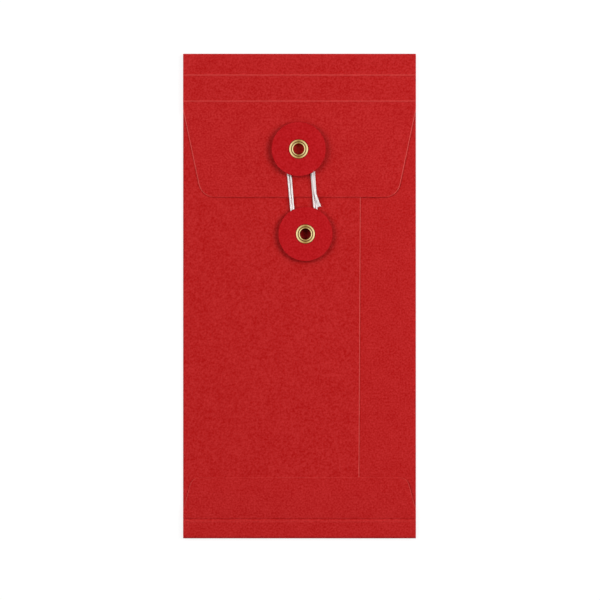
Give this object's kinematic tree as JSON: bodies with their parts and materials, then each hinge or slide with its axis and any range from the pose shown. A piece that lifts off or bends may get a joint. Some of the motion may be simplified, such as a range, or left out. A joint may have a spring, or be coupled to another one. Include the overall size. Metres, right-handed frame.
{
  "type": "string tie envelope",
  "caption": "Slim red card envelope with a scored closing flap, held shut by a white string wound round washers on brass eyelets.",
  "frame": {"origin": "centre of the closed envelope's outline, on the address side that it lies on", "axes": "+X across the envelope, +Y from the bottom fold to the top fold, +Z out of the back towards the closing flap"},
  "size_m": [0.11, 0.229, 0.0065],
  "materials": {
    "red_card": "matt dyed card",
    "red_board": "pressed board faced with red paper",
    "brass": "bright rolled brass",
    "white_cotton": "twisted white cotton string",
    "glue": "dried paper glue"
  },
  "bodies": {
    "pocket_front": {"front_panel": "red_card", "left_fold": "red_card", "right_fold": "red_card", "top_fold": "red_card", "bottom_fold": "red_card", "bottom_strip": "red_card"},
    "pocket_back": {"left_back_panel": "red_card", "right_back_panel": "red_card", "seam_glue": "glue", "bottom_flap": "red_card", "bottom_glue": "glue", "pocket_eyelet": "brass", "pocket_spacer": "red_board"},
    "pocket_disc": {"pocket_washer": "red_board"},
    "flap_strip_one": {"first_flap_strip": "red_card"},
    "flap_strip_two": {"second_flap_strip": "red_card"},
    "flap": {"closing_flap": "red_card", "flap_eyelet": "brass", "flap_spacer": "red_board"},
    "flap_disc": {"flap_washer": "red_board"},
    "tie_string": {"string_winding": "white_cotton", "string_tail": "white_cotton"}
  },
  "joints": [
    {"name": "flap_fold", "type": "hinge", "parent": "pocket_front", "child": "flap_strip_one", "pos_m": [0, 0.11315, 0.00135], "axis": [-1, 0, 0], "range_deg": [0, 175], "deforming": ["top_fold", "string_winding", "string_tail"]},
    {"name": "first_score", "type": "hinge", "parent": "flap_strip_one", "child": "flap_strip_two", "pos_m": [0, 0.1044, 0.00255], "axis": [-1, 0, 0], "range_deg": [-17.5, 0]},
    {"name": "second_score", "type": "hinge", "parent": "flap_strip_two", "child": "flap", "pos_m": [0, 0.0921, 0.00255], "axis": [-1, 0, 0], "range_deg": [-17.5, 0]},
    {"name": "pocket_mouth", "type": "hinge", "parent": "pocket_front", "child": "pocket_back", "pos_m": [0, -0.1055, 0.00225], "axis": [1, 0, 0], "range_deg": [0, 3]},
    {"name": "flap_washer_spin", "type": "hinge", "parent": "flap", "child": "flap_disc", "pos_m": [-0.0004, 0.0694, 0.00521], "axis": [0, 0, 1], "continuous": true},
    {"name": "pocket_washer_spin", "type": "hinge", "parent": "pocket_back", "child": "pocket_disc", "pos_m": [0.0028, 0.0293, 0.00415], "axis": [0, 0, 1], "continuous": true},
    {"name": "string_drop", "type": "hinge", "parent": "flap", "child": "tie_string", "pos_m": [0, 0.0467, 0.0032], "axis": [-1, 0, 0], "range_deg": [0, 122.5]}
  ],
  "couplings": [
    {"joint": "first_score", "follows": "flap_fold", "ratio": -0.1},
    {"joint": "second_score", "follows": "flap_fold", "ratio": -0.1},
    {"joint": "pocket_mouth", "follows": "flap_fold", "ratio": 0.017},
    {"joint": "string_drop", "follows": "flap_fold", "ratio": 0.7}
  ]
}
